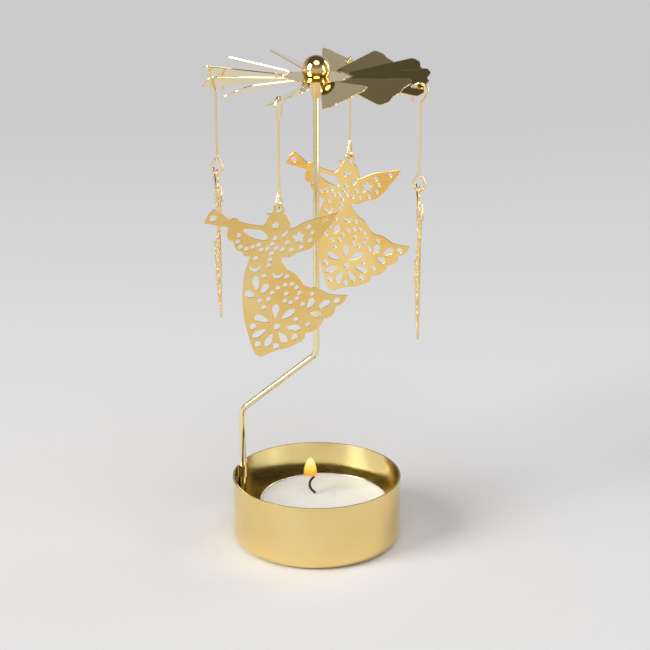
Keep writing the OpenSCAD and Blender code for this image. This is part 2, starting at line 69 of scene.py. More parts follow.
def add_soft_box(name, place, aim, size, watts, tint):
    """A rectangular lamp turned towards a point."""
    light = bpy.data.lights.new(name, "AREA")
    light.shape = "RECTANGLE"
    light.size, light.size_y = size
    light.energy = watts
    light.color = tint
    box = linked(name, light)
    box.location = place
    box.rotation_euler = (Vector(aim) - Vector(place)).to_track_quat("-Z", "Y").to_euler()


def add_overhead(place, strength, spread):
    """A wide silk far above, as soft as a disc of the given spread in degrees."""
    light = bpy.data.lights.new("overhead", "SUN")
    light.energy = strength
    light.angle = math.radians(spread)
    silk = linked("overhead", light)
    silk.location = place
    silk.rotation_euler = (-Vector(place)).to_track_quat("-Z", "Y").to_euler()


def new_material(name):
    """Empty material, its nodes, its links and its output."""
    material = bpy.data.materials.new(name)
    material.use_nodes = True
    nodes, links = material.node_tree.nodes, material.node_tree.links
    nodes.clear()
    return material, nodes, links, nodes.new("ShaderNodeOutputMaterial")


def light_sky():
    """World that is pale at the horizon and dim overhead."""
    world = bpy.data.worlds.new("studio")
    scene.world = world
    world.use_nodes = True
    nodes, links = world.node_tree.nodes, world.node_tree.links
    nodes.clear()
    direction = nodes.new("ShaderNodeTexCoord")
    split = nodes.new("ShaderNodeSeparateXYZ")
    ramp = nodes.new("ShaderNodeValToRGB")
    sky = nodes.new("ShaderNodeBackground")
    output = nodes.new("ShaderNodeOutputWorld")
    links.new(direction.outputs["Generated"], split.inputs[0])
    links.new(split.outputs["Z"], ramp.inputs["Fac"])
    stops = ramp.color_ramp.elements
    stops[0].position, stops[0].color = 0.12, HORIZON
    stops[1].position, stops[1].color = 0.75, (0.085, 0.08, 0.075, 1)
    middle = stops.new(0.32)
    middle.color = (0.36, 0.36, 0.365, 1)
    links.new(ramp.outputs["Color"], sky.inputs["Color"])
    links.new(sky.outputs[0], output.inputs["Surface"])


def lay_floor():
    """A pale floor that takes the object's shadow and fades into the horizon far away."""
    half = 30
    mesh = bpy.data.meshes.new("floor")
    mesh.from_pydata([(-half, -half, 0), (half, -half, 0), (half, half, 0), (-half, half, 0)],
                     [], [(0, 1, 2, 3)])
    floor = linked("floor", mesh)
    material, nodes, links, output = new_material("pale_floor")
    shader = nodes.new("ShaderNodeBsdfPrincipled")
    shader.inputs["Base Color"].default_value = (0.74, 0.74, 0.75, 1)
    shader.inputs["Roughness"].default_value = 0.85
    coords = nodes.new("ShaderNodeTexCoord").outputs["Object"]
    away = nodes.new("ShaderNodeVectorMath")
    away.operation = "LENGTH"
    links.new(coords, away.inputs[0])
    reach = nodes.new("ShaderNodeMapRange")
    reach.inputs["From Min"].default_value, reach.inputs["From Max"].default_value = 0.2, 0.9
    links.new(away.outputs["Value"], reach.inputs["Value"])
    rays = nodes.new("ShaderNodeLightPath")
    seen = nodes.new("ShaderNodeMath")
    seen.operation = "MAXIMUM"
    links.new(rays.outputs["Is Camera Ray"], seen.inputs[0])
    links.new(rays.outputs["Is Glossy Ray"], seen.inputs[1])
    share = nodes.new("ShaderNodeMath")
    share.operation = "MULTIPLY"
    links.new(reach.outputs["Result"], share.inputs[0])
    links.new(seen.outputs[0], share.inputs[1])
    haze = nodes.new("ShaderNodeEmission")
    haze.inputs["Color"].default_value = HORIZON
    faded = nodes.new("ShaderNodeMixShader")
    links.new(share.outputs[0], faded.inputs["Fac"])
    links.new(shader.outputs[0], faded.inputs[1])
    links.new(haze.outputs[0], faded.inputs[2])
    links.new(faded.outputs[0], output.inputs["Surface"])
    mesh.materials.append(material)


add_camera()
light_sky()
lay_floor()
add_soft_box("key", (-1.36, -0.76, 0.82), (0, 0, 0.06), (0.84, 1.24), 32, (1.0, 0.985, 0.96))
add_overhead((0.05, -0.42, 0.9), 1.0, 40)
add_soft_box("fill", (0.75, -0.35, 0.30), (0, 0, 0.07), (0.25, 0.55), 1.6, (0.93, 0.96, 1.0))
add_soft_box("rim", (0.80, 0.50, 0.45), (0, 0, 0.08), (0.35, 0.6), 1.8, (1.0, 1.0, 1.0))

# Candle cup: drawn from thin brass sheet, trimmed and deburred at the rim, and plated. A tongue
# is cut from the rim and folded round the mast as its clip. Polished outside; inside, the
# drawing punch leaves a softer skin.
CUP_R, CUP_H, CUP_WALL, CUP_CORNER = 24.9, 20, 0.5, 3.5
CLIP_ANGLE, CLIP_H, CLIP_SLIT = 161.6, 3.5, 0.35
CLIP_WINDOW, CLIP_BORE, CLIP_GAP = 6, 0.94, 0.7
FOOT_X = CUP_R - CUP_WALL - CLIP_BORE


def arc(x, y, r, start, stop, steps):
    """Points of an arc in degrees about (x, y), both ends included."""
    turns = [math.radians(start + (stop - start) * k / steps) for k in range(steps + 1)]
    return [(x + r * math.cos(t), y + r * math.sin(t)) for t in turns]


def kept_mesh(name, mesh, *finishes):
    """New object from a bmesh in metres, with its finishes."""
    data = bpy.data.meshes.new(name)
    mesh.to_mesh(data)
    mesh.free()
    for finish in finishes:
        data.materials.append(finish)
    return linked(name, data)


def plain_mesh(obj):
    """Applies the modifiers of obj and keeps the result as a plain mesh."""
    depsgraph = bpy.context.evaluated_depsgraph_get()
    mesh = bpy.data.meshes.new_from_object(obj.evaluated_get(depsgraph))
    mesh.name = obj.name
    obj.modifiers.clear()
    obj.data = mesh
    return obj


def add_modifier(obj, kind, **values):
    modifier = obj.modifiers.new(kind.lower(), kind)
    for key, value in values.items():
        setattr(modifier, key, value)
    return modifier


def softened(obj, width, segments, angle):
    """Breaks the edges of a piece that are sharper than the angle and evens its shading."""
    for face in obj.data.polygons:
        face.use_smooth = True
    add_modifier(obj, "BEVEL", width=width * MM, segments=segments, limit_method="ANGLE",
                 angle_limit=math.radians(angle), use_clamp_overlap=True)
    add_modifier(obj, "WEIGHTED_NORMAL", weight=100, keep_sharp=True)
    return plain_mesh(obj)


def noise(nodes, links, coords, scale, detail, stretch=(1, 1, 1)):
    """Noise over object coordinates, scale in cells per metre."""
    mapping = nodes.new("ShaderNodeMapping")
    mapping.inputs["Scale"].default_value = stretch
    texture = nodes.new("ShaderNodeTexNoise")
    texture.inputs["Scale"].default_value = scale
    texture.inputs["Detail"].default_value = detail
    links.new(coords, mapping.inputs["Vector"])
    links.new(mapping.outputs[0], texture.inputs["Vector"])
    return texture.outputs["Fac"]


def ranged(nodes, links, value, low, high, source=(0.35, 0.65)):
    """Value moved from the source range to low and high, and held between them."""
    node = nodes.new("ShaderNodeMapRange")
    node.inputs["From Min"].default_value, node.inputs["From Max"].default_value = source
    node.inputs["To Min"].default_value, node.inputs["To Max"].default_value = low, high
    links.new(value, node.inputs["Value"])
    return node.outputs["Result"]


def blended(nodes, links, value, first, second):
    """Colour that runs from first to second as value goes from 0 to 1."""
    node = nodes.new("ShaderNodeMix")
    node.data_type = "RGBA"
    node.inputs["A"].default_value = (*first, 1)
    node.inputs["B"].default_value = (*second, 1)
    links.new(value, node.inputs["Factor"])
    return node.outputs["Result"]


def finished(nodes, links, shader, output, height, strength, distance):
    """Gives the shader a fine relief and joins it to the output."""
    bump = nodes.new("ShaderNodeBump")
    bump.inputs["Strength"].default_value = strength
    bump.inputs["Distance"].default_value = distance
    links.new(height, bump.inputs["Height"])
    links.new(bump.outputs[0], shader.inputs["Normal"])
    links.new(shader.outputs[0], output.inputs["Surface"])
    return bump


def plated_brass(name, light, deep, gloss, grain, grain_scale, depth, cloud=70):
    """Gold-plated brass: a slow drift between two tones, grain along one direction and a
    roughness that varies with both."""
    material, nodes, links, output = new_material(name)
    shader = nodes.new("ShaderNodeBsdfPrincipled")
    shader.inputs["Metallic"].default_value = 1
    coords = nodes.new("ShaderNodeTexCoord").outputs["Object"]
    drift = noise(nodes, links, coords, cloud, 4)
    lines = noise(nodes, links, coords, grain_scale, 2, grain)
    tone = ranged(nodes, links, drift, 0, 1)
    links.new(blended(nodes, links, tone, light, deep), shader.inputs["Base Color"])
    both = nodes.new("ShaderNodeMath")
    both.operation = "ADD"
    links.new(drift, both.inputs[0])
    links.new(lines, both.inputs[1])
    links.new(ranged(nodes, links, both.outputs[0], *gloss, (0.75, 1.25)),
              shader.inputs["Roughness"])
    finished(nodes, links, shader, output, lines, depth, 0.01 * MM)
    return material


def finish_piece(obj, body, slot, *nodes):
    """Hides the CAD nodes that a piece stands for and attaches the piece to its body. The finish
    (slot) it is given is not used.
    """
    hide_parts(*nodes)
    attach(obj, body)


def cup_columns(fold):
    """Directions of the wall's columns, from the tongue's fold once round, in degrees, and the
    one at which the window starts."""
    widest = 1.9
    near = CLIP_ANGLE + math.degrees(math.asin((CLIP_BORE + CUP_WALL / 3)
                                               / (CUP_R - CUP_WALL / 2)))
    window = near - math.degrees(CLIP_WINDOW / CUP_R)
    stops = [fold, window + 360, fold + 360]
    columns = []
    for low, high in zip(stops, stops[1:]):
        count = math.ceil((high - low) / widest)
        columns += [low + (high - low) * k / count for k in range(count)]
    return columns, window + 360


def tongue_plan(start):
    """Outer skin of the tongue in plan, about the mast, from where it leaves the wall: a fold
    inwards, two bends behind the mast and a straight end."""
    fold, bend = 0.6, 0.3
    middle = CLIP_BORE - bend
    path = arc(start.x - fold, start.y, fold, 0, -90, 8)[1:]
    path += arc(-middle, middle, bend, 90, 180, 6)
    path += arc(-middle, -middle, bend, 180, 270, 6)
    return path + [(CUP_WALL + CLIP_BORE - CLIP_GAP, -CLIP_BORE)]


def make_cup():
    """Outer skin of the cup and its tongue in one sheet, then the wall's thickness."""
    tongue_z = CUP_H - CLIP_H
    profile = [(r, 0) for r in (7, 14, 18)]
    profile += arc(CUP_R - CUP_CORNER, CUP_CORNER, CUP_CORNER, -90, 0, 10)
    profile += [(CUP_R, z) for z in (7, 11, tongue_z - CLIP_SLIT, tongue_z, 18.2, CUP_H)]
    reach = CLIP_BORE + 0.6
    fold = CLIP_ANGLE + math.degrees(math.asin(reach / CUP_R))
    columns, window = cup_columns(fold)
    mesh = bmesh.new()
    middle = mesh.verts.new((0, 0, 0))
    rings = [[mesh.verts.new((r * math.cos(math.radians(a)), r * math.sin(math.radians(a)), z))
              for a in columns] for r, z in profile]
    count = len(columns)
    for j in range(count):
        k = (j + 1) % count
        mesh.faces.new((middle, rings[0][k], rings[0][j]))
        for (low, high), (_, z) in zip(zip(rings, rings[1:]), profile):
            if z < tongue_z - CLIP_SLIT - 0.01 or columns[j] < window - 0.01:
                mesh.faces.new((low[j], low[k], high[k], high[j]))
    # The tongue goes on from the wall, in front of the mast and round it
    at = Matrix.Rotation(math.radians(CLIP_ANGLE), 4, "Z")
    start = Vector((math.sqrt(CUP_R ** 2 - reach ** 2) - FOOT_X, reach))
    levels = [i for i, (_, z) in enumerate(profile) if z > tongue_z - 0.01]
    last = [rings[i][0] for i in levels]
    for x, y in tongue_plan(start):
        row = [mesh.verts.new(at @ Vector((FOOT_X + x, y, profile[i][1]))) for i in levels]
        for i in range(len(levels) - 1):
            mesh.faces.new((row[i], last[i], last[i + 1], row[i + 1]))
        last = row
    bmesh.ops.delete(mesh, geom=[v for v in mesh.verts if not v.link_faces], context="VERTS")
    bmesh.ops.scale(mesh, vec=(MM, MM, MM), verts=mesh.verts)
    outside = plated_brass("polished_cup_wall", (0.92, 0.72, 0.33), (0.88, 0.65, 0.26),
                           (0.03, 0.07), (0.04, 0.04, 1), 2600, 0.06, 40)
    inside = plated_brass("drawn_cup_inside", (0.95, 0.81, 0.42), (0.93, 0.76, 0.35),
                          (0.17, 0.23), (0.04, 0.04, 1), 2200, 0.06, 50)
    cup = kept_mesh("brass_cup", mesh, outside, inside)
    add_modifier(cup, "SOLIDIFY", thickness=CUP_WALL * MM, offset=-1, use_even_offset=True,
                 material_offset=1)
    softened(cup, 0.2, 4, 50)
    finish_piece(cup, "stand", "polished_gold", "candle_cup")


make_cup()

# Mast: hard-drawn brass wire, bent twice so that it climbs clear of the flame and ends on the
# cup's axis, where it is ground to a point for the fan to spin on. Its foot is cut square and
# stands inside the cup, held by the clip.


def bent(corners, steps=14):
    """Path of a wire through corners [x, z, bend radius], as points with a smooth bend each."""
    path = [Vector(corners[0][:2])]
    for before, corner, after in zip(corners, corners[1:], corners[2:]):
        at = Vector(corner[:2])
        back = (Vector(before[:2]) - at).normalized()
        ahead = (Vector(after[:2]) - at).normalized()
        radius = corner[2]
        half = back.angle(ahead) / 2
        centre = at + (back + ahead).normalized() * radius / math.sin(half)
        first = at + back * radius / math.tan(half) - centre
        sweep = math.pi - 2 * half
        side = 1 if back.x * ahead.y - back.y * ahead.x < 0 else -1
        for k in range(steps + 1):
            t = side * sweep * k / steps
            path.append(centre + Vector((first.x * math.cos(t) - first.y * math.sin(t),
                                         first.x * math.sin(t) + first.y * math.cos(t))))
    path.append(Vector(corners[-1][:2]))
    return path


def shaping_tree(name, made, **inputs):
    """Geometry Nodes tree that makes one thing, its two ends, and its inputs' identifiers."""
    tree = bpy.data.node_groups.new(name, "GeometryNodeTree")
    named = {label: tree.interface.new_socket(label, in_out="INPUT",
                                              socket_type="NodeSocket" + kind).identifier
             for label, kind in inputs.items()}
    tree.interface.new_socket(made, in_out="OUTPUT", socket_type="NodeSocketGeometry")
    return tree, tree.nodes.new("NodeGroupInput"), tree.nodes.new("NodeGroupOutput"), named


def chained(links, *nodes):
    """Joins the first output of each node to the first input of the next."""
    for one, after in zip(nodes, nodes[1:]):
        links.new(one.outputs[0], after.inputs[0])


def wire_tree():
    """Tree that sweeps a round section along a path whose points hold a radius."""
    tree, source, result, named = shaping_tree("drawn_wire", "Wire", Path="Geometry",
                                               Sides="Int", Finish="Material")
    nodes, links = tree.nodes, tree.links
    thickness = nodes.new("GeometryNodeInputNamedAttribute")
    thickness.data_type = "FLOAT"
    thickness.inputs["Name"].default_value = "radius"
    curve = nodes.new("GeometryNodeMeshToCurve")
    radius = nodes.new("GeometryNodeSetCurveRadius")
    circle = nodes.new("GeometryNodeCurvePrimitiveCircle")
    circle.inputs["Radius"].default_value = 1
    sweep = nodes.new("GeometryNodeCurveToMesh")
    sweep.inputs["Fill Caps"].default_value = True
    realize = nodes.new("GeometryNodeRealizeInstances")
    smooth = nodes.new("GeometryNodeSetShadeSmooth")
    paint = nodes.new("GeometryNodeSetMaterial")
    links.new(source.outputs["Sides"], circle.inputs["Resolution"])
    links.new(circle.outputs["Curve"], sweep.inputs["Profile Curve"])
    links.new(thickness.outputs["Attribute"], radius.inputs["Radius"])
    if "Scale" in sweep.inputs:
        links.new(thickness.outputs["Attribute"], sweep.inputs["Scale"])
    links.new(source.outputs["Finish"], paint.inputs["Material"])
    chained(links, source, curve, radius, sweep, realize, smooth, paint, result)
    return tree, named


WIRE_TREE, WIRE_INPUTS = wire_tree()


def swept_wire(name, path, radii, place, finish, sides):
    """Wire along a path of 3D points in millimetres, put in its place by a matrix."""
    data = bpy.data.meshes.new(name)
    data.from_pydata([(place @ p) * MM for p in path], [(i, i + 1) for i in range(len(path) - 1)],
                     [])
    held = data.attributes.new("radius", "FLOAT", "POINT")
    for i, r in enumerate(radii):
        held.data[i].value = r * MM
    wire = linked(name, data)
    modifier = add_modifier(wire, "NODES", node_group=WIRE_TREE)
    modifier[WIRE_INPUTS["Sides"]] = sides
    modifier[WIRE_INPUTS["Finish"]] = finish
    plain_mesh(wire)
    turned_out(wire.data)
    return wire


def turned_out(data, merge=0.0005 * MM, sharp=38):
    """Merges doubles, turns the faces of a closed mesh outwards and marks its sharp edges."""
    mesh = bmesh.new()
    mesh.from_mesh(data)
    bmesh.ops.remove_doubles(mesh, verts=mesh.verts, dist=merge)
    bmesh.ops.recalc_face_normals(mesh, faces=mesh.faces)
    mesh.to_mesh(data)
    mesh.free()
    for face in data.polygons:
        face.use_smooth = True
    data.set_sharp_from_angle(angle=math.radians(sharp))


def cut_end(path, radii, radius, size, first=True):
    """Takes the sharp edge off a wire's cut end."""
    i, j = (0, 1) if first else (-1, -2)
    inner = path[i] + (path[j] - path[i]).normalized() * size
    if first:
        path.insert(1, inner)
        radii.insert(1, radius)
        radii[0] = radius - size
    else:
        path.insert(len(path) - 1, inner)
        radii.insert(len(radii) - 1, radius)
        radii[-1] = radius - size


def make_mast():
    radius = 0.9
    foot_z, low_z, high_z, bend = 3.032, 37.8, 58, 4.5
    point_z, tip_z, tip_r = 139.4, 142.0, 0.15
    flat = bent([(FOOT_X, foot_z, 0), (FOOT_X, low_z, bend), (0, high_z, bend), (0, point_z, 0)],
                20)
    path = [Vector((p.x, 0, p.y)) for p in flat]
    radii = [radius] * len(path)
    cut_end(path, radii, radius, 0.14)
    for k in range(1, 7):
        path.append(Vector((0, 0, point_z + (tip_z - point_z) * k / 6)))
        radii.append(radius + (tip_r - radius) * k / 6)
    finish = plated_brass("drawn_mast_wire", (0.94, 0.83, 0.54), (0.91, 0.77, 0.45),
                          (0.05, 0.11), (1, 1, 0.03), 2200, 0.1)
    place = Matrix.Rotation(math.radians(CLIP_ANGLE), 4, "Z")
    mast = swept_wire("wire_mast", path, radii, place, finish, 40)
    finish_piece(mast, "stand", "polished_gold", "mast")


make_mast()

# Fan: one disc of thin brass sheet, blanked with slots and scalloped tips, then each blade is
# twisted at its neck like a windmill's vane. Four blades are pierced near the tip for the
# hangers. Mirror bright, with the blanked edges a little rounded.
FAN_Z, FAN_T = 139, 0.3
BLADES, TWIST = 12, 23.4
HALF_ANGLE = 180 / BLADES
HALF_STEP = math.radians(HALF_ANGLE)
SLOT_R, SLOT_X = 1.2, 9.6
HUB_X, TWIST_END, TIP_X = 8.5, 10.7, 30.75


def blade_half_width(x):
    return x * math.tan(HALF_STEP) - SLOT_R / math.cos(HALF_STEP)


def blade_tip(count):
    """Outer edge of a blade from side to side: a rounded corner, three lobes, a corner."""
    half, lobes, lobe_h, corner = blade_half_width(TIP_X), 3, 0.55, 1.3
    lobe_half = half / lobes
    lobe_r = (lobe_half ** 2 + lobe_h ** 2) / (2 * lobe_h)
    spread = math.degrees(math.asin(lobe_half / lobe_r))
    open_half = math.radians(90 - HALF_ANGLE) / 2
    reach = corner / math.tan(open_half)
    side = Vector((-math.cos(HALF_STEP), -math.sin(HALF_STEP)))
    centre = Vector((TIP_X, half)) + (side + Vector((0, -1))).normalized() * math.hypot(
        reach, corner)
    lobed = []
    for i in (1, 0, -1):
        lobed += arc(TIP_X + lobe_h - lobe_r, 2 * lobe_half * i, lobe_r, spread, -spread, 16)[
            (1 if i < 1 else 0):]
    kept = [Vector(p) for p in lobed if abs(p[1]) < centre.y]
    upper = [Vector(p) for p in arc(centre.x, centre.y, corner, 90 + HALF_ANGLE, 0, 14)]
    limit = kept[0].x
    upper = [p for p in upper if p.x < limit or p.y > centre.y + 0.4 * corner]
    outline = upper + kept + [Vector((p.x, -p.y)) for p in reversed(upper)]
    lengths = [0]
    for a, b in zip(outline, outline[1:]):
        lengths.append(lengths[-1] + (b - a).length)
    points = []
    for k in range(count + 1):
        want = lengths[-1] * k / count
        i = max(j for j in range(len(lengths)) if lengths[j] <= want + 1e-9)
        i = min(i, len(outline) - 2)
        part = (want - lengths[i]) / (lengths[i + 1] - lengths[i])
        points.append(outline[i].lerp(outline[i + 1], part))
    return points


def blade_rows():
    """Rows of points across one blade, from the fan's bore to the tip, still flat."""
    across = 32
    share = [1 - 2 * k / across for k in range(across + 1)]
    bore = 1.34
    rows = []
    for r in (bore, 2.2, 3.2, 4.2, 5.4, 6.6, 7.6):
        rows.append([Vector((r * math.cos(HALF_STEP * s), r * math.sin(HALF_STEP * s)))
                     for s in share])
    slot = (SLOT_X * math.cos(HALF_STEP), SLOT_X * math.sin(HALF_STEP))
    side = arc(*slot, SLOT_R, 180 + HALF_ANGLE, 270 + HALF_ANGLE, 12)
    reach = SLOT_X - SLOT_R
    for k, (x, y) in enumerate(side):
        mid = max(x, reach + (HUB_X - reach) * min(1, k / 3))
        rows.append([Vector((mid + (x - mid) * s * s, y * s)) for s in share])
    x = side[-1][0]
    for stop in (TWIST_END, 14, 18, 22, 25, 27.5):
        steps = 5 if stop == TWIST_END else 2
        for k in range(1, steps + 1):
            at = x + (stop - x) * k / steps
            rows.append([Vector((at, blade_half_width(at) * s)) for s in share])
        x = stop
    start = rows[-1]
    tip = blade_tip(across)
    for t in (0.35, 0.6, 0.8, 0.92, 1):
        rows.append([a.lerp(b, t) for a, b in zip(start, tip)])
    return rows


def neck_turn(x):
    """Twist of the blade at a distance from the axis: all of it happens in the neck."""
    t = min(1, max(0, (x - HUB_X) / (TWIST_END - HUB_X)))
    return math.radians(TWIST) * t * t * (3 - 2 * t)


def set_round(blade):
    """Modifier that sets copies of one blade round the hub and welds them."""
    tree, source, result, named = shaping_tree("blades_round_hub", "Fan", Blade="Geometry",
                                               Blades="Int", Step="Float", Finish="Material")
    nodes, links = tree.nodes, tree.links
    places = nodes.new("GeometryNodeMeshLine")
    places.inputs["Offset"].default_value = (0, 0, 0)
    index = nodes.new("GeometryNodeInputIndex")
    angle = nodes.new("ShaderNodeMath")
    angle.operation = "MULTIPLY"
    turn = nodes.new("ShaderNodeCombineXYZ")
    copies = nodes.new("GeometryNodeInstanceOnPoints")
    realize = nodes.new("GeometryNodeRealizeInstances")
    weld = nodes.new("GeometryNodeMergeByDistance")
    weld.inputs["Distance"].default_value = 0.002 * MM
    paint = nodes.new("GeometryNodeSetMaterial")
    links.new(source.outputs["Blades"], places.inputs["Count"])
    links.new(index.outputs[0], angle.inputs[0])
    links.new(source.outputs["Step"], angle.inputs[1])
    links.new(angle.outputs[0], turn.inputs["Z"])
    links.new(source.outputs["Blade"], copies.inputs["Instance"])
    links.new(turn.outputs[0], copies.inputs["Rotation"])
    links.new(source.outputs["Finish"], paint.inputs["Material"])
    chained(links, places, copies, realize, weld, paint, result)
    modifier = add_modifier(blade, "NODES", node_group=tree)
    modifier[named["Blades"]] = BLADES
    modifier[named["Step"]] = 2 * HALF_STEP
    modifier[named["Finish"]] = plated_brass(
        "mirror_fan_sheet", (0.92, 0.75, 0.38), (0.89, 0.70, 0.32), (0.03, 0.07), (1, 1, 1),
        420, 0.12, 40)


def make_fan():
    """One blade, copied round the hub, then thickened and drilled for the hangers."""
    rows = blade_rows()
    points, faces = [], []
    for row in rows:
        for p in row:
            turn = neck_turn(p.x)
            flat = Vector((p.x, p.y * math.cos(turn), p.y * math.sin(turn)))
            flat.rotate(Matrix.Rotation(HALF_STEP, 3, "Z"))
            points.append((flat + Vector((0, 0, FAN_Z))) * MM)
    width = len(rows[0])
    for i in range(len(rows) - 1):
        for j in range(width - 1):
            a = i * width + j
            faces.append((a, a + width, a + width + 1, a + 1))
    data = bpy.data.meshes.new("blade_fan")
    data.from_pydata(points, [], faces)
    fan = linked("blade_fan", data)
    set_round(fan)
    plain_mesh(fan)
    add_modifier(fan, "SOLIDIFY", thickness=FAN_T * MM, offset=0, use_even_offset=True)
    drill = hole_cutters()
    add_modifier(fan, "BOOLEAN", object=drill, operation="DIFFERENCE", solver="EXACT")
    softened(fan, 0.06, 2, 50)
    bpy.data.objects.remove(drill)
    finish_piece(fan, "rotor", "polished_gold", "fan")


def hole_cutters():
    """Four drills, square to the blades that carry the hangers."""
    hole_x, hole_r, off_middle = 28.1, 0.95, -4
    side = hole_x * math.sin(math.radians(off_middle)) / math.cos(math.radians(TWIST))
    mesh = bmesh.new()
    for i in range(4):
        place = (Matrix.Translation((0, 0, FAN_Z * MM))
                 @ Matrix.Rotation(math.radians(90 * i - HALF_ANGLE), 4, "Z")
                 @ Matrix.Rotation(math.radians(TWIST), 4, "X")
                 @ Matrix.Translation((hole_x * MM, side * MM, 0)))
        bmesh.ops.create_cone(mesh, cap_ends=True, segments=40, radius1=hole_r * MM,
                              radius2=hole_r * MM, depth=2 * MM, matrix=place)
    drill = kept_mesh("drill", mesh)
    drill.hide_render = True
    return drill


make_fan()

# Ball and sleeve: turned brass. The sleeve's collar is pressed up under the fan and its end
# into the ball, so that the two clamp the sheet; the mast's point runs in the ball's blind hole.


def lathe(name, profile, finish, segments, at=(0, 0)):
    """Turns a closed profile of (radius, height) about a vertical axis, poles closed."""
    mesh = bmesh.new()
    rings = []
    for r, z in profile:
        if r < 1e-6:
            rings.append([mesh.verts.new((at[0] * MM, at[1] * MM, z * MM))])
        else:
            rings.append([mesh.verts.new(((at[0] + r * math.cos(2 * math.pi * k / segments)) * MM,
                                          (at[1] + r * math.sin(2 * math.pi * k / segments)) * MM,
                                          z * MM)) for k in range(segments)])
    for a, b in zip(rings, rings[1:] + rings[:1]):
        if len(a) == 1 and len(b) == 1:
            continue
        for k in range(segments):
            n = (k + 1) % segments
            if len(a) == 1:
                mesh.faces.new((a[0], b[n], b[k]))
            elif len(b) == 1:
                mesh.faces.new((a[k], a[n], b[0]))
            else:
                mesh.faces.new((a[k], a[n], b[n], b[k]))
    obj = kept_mesh(name, mesh, finish)
    turned_out(obj.data)
    return obj


def make_ball():
    radius, middle, seat = 3.95, 141.15, 139.15
    grip_r, grip_z, point_z, point_r, mouth_r = 1.32, 140.75, 142.05, 0.2, 0.63
    low = math.degrees(math.asin((seat - middle) / radius))
    outside = arc(0, middle, radius, 90, low + 1.5, 46)
    rim = outside[-1][0]
    profile = [(0, middle + radius)] + outside[1:] + [
        (rim - 0.02, seat + 0.03), (rim - 0.08, seat), (grip_r, seat), (grip_r, grip_z),
        (mouth_r, grip_z), (point_r, point_z), (0, point_z)]
    finish = plated_brass("turned_ball", (0.93, 0.68, 0.29), (0.89, 0.61, 0.23), (0.04, 0.08),
                          (0.3, 0.3, 1), 1500, 0.04, 180)
    ball = lathe("turned_ball", profile, finish, 96)
    finish_piece(ball, "rotor", "polished_gold", "ball_knob")


def make_sleeve():
    tube, collar, bore, edge = 1.3, 1.8, 0.98, 0.12
    bottom, collar_z, seat, top = 133.25, 137.55, 138.85, 140.75
    profile = [(bore, bottom + edge), (bore + edge, bottom), (tube - edge, bottom),
               (tube, bottom + edge), (tube, collar_z - 0.25), (tube + 0.08, collar_z - 0.06),
               (tube + 0.25, collar_z), (collar - edge, collar_z), (collar, collar_z + edge),
               (collar, seat - edge), (collar - edge, seat), (tube, seat), (tube, top),
               (bore, top)]
    finish = plated_brass("turned_sleeve", (0.92, 0.69, 0.31), (0.88, 0.61, 0.24), (0.08, 0.14),
                          (0.1, 0.1, 1), 3800, 0.2, 200)
    sleeve = lathe("turned_sleeve", profile, finish, 64)
    finish_piece(sleeve, "rotor", "polished_gold", "pivot_sleeve")


make_ball()
make_sleeve()

# Hangers: thin brass wire, each bent in one go into a hook over its blade, a kink that brings
# the stem under the hole, and a drop-shaped loop whose end closes beside the stem.
HANGER_TURNS = {"right": -19, "back": 71, "left": 161, "front": 251}
STEM_X = 30.1


def make_hangers():
    """Draws one hanger flat, from the hook's tail to the end of the loop, and sets it round."""
    radius = 0.375
    hook_x, hook_z, hook_r, tail = 29.9, 136.988, 2.15, 3.3
    kink_z, shoulder = 133.4, 136.288
    loop_z, loop_top, loop_r = 109.2, 114.3, 1.675
    loop_c = Vector((STEM_X, loop_z + loop_r))
    lean = math.asin(loop_r / (loop_top - loop_z - loop_r))
    crest = hook_z + hook_r
    flat = bent([(hook_x - hook_r, hook_z - tail, 0), (hook_x - hook_r, crest, hook_r - 0.001),
                 (hook_x + hook_r, crest, hook_r - 0.001), (hook_x + hook_r, shoulder, 1.3),
                 (STEM_X, kink_z, 1.3), (STEM_X, loop_top + 0.2, 1.6),
                 tuple(loop_c + loop_r * Vector((-math.cos(lean), math.sin(lean)))) + (0,)], 16)
    flat += [Vector(p) for p in arc(*loop_c, loop_r, 180 - math.degrees(lean),
                                    360 + math.degrees(lean), 36)[1:]]
    apex = Vector((STEM_X, loop_top))
    closing = (flat[-1] - apex).normalized()
    flat.append(apex + closing * 0.95)
    finish = plated_brass("drawn_hanger_wire", (0.93, 0.78, 0.45), (0.89, 0.71, 0.36),
                          (0.09, 0.16), (1, 1, 0.04), 2600, 0.1)
    for name, turn in HANGER_TURNS.items():
        path = [Vector((p.x, 0, p.y)) for p in flat]
        radii = [radius] * len(path)
        cut_end(path, radii, radius, 0.07)
        cut_end(path, radii, radius, 0.07, False)
        place = Matrix.Rotation(math.radians(turn), 4, "Z")
        hanger = swept_wire("wire_hook_" + name, path, radii, place, finish, 20)
        finish_piece(hanger, "hanger_" + name, "polished_gold", "hanger_" + name)


make_hangers()

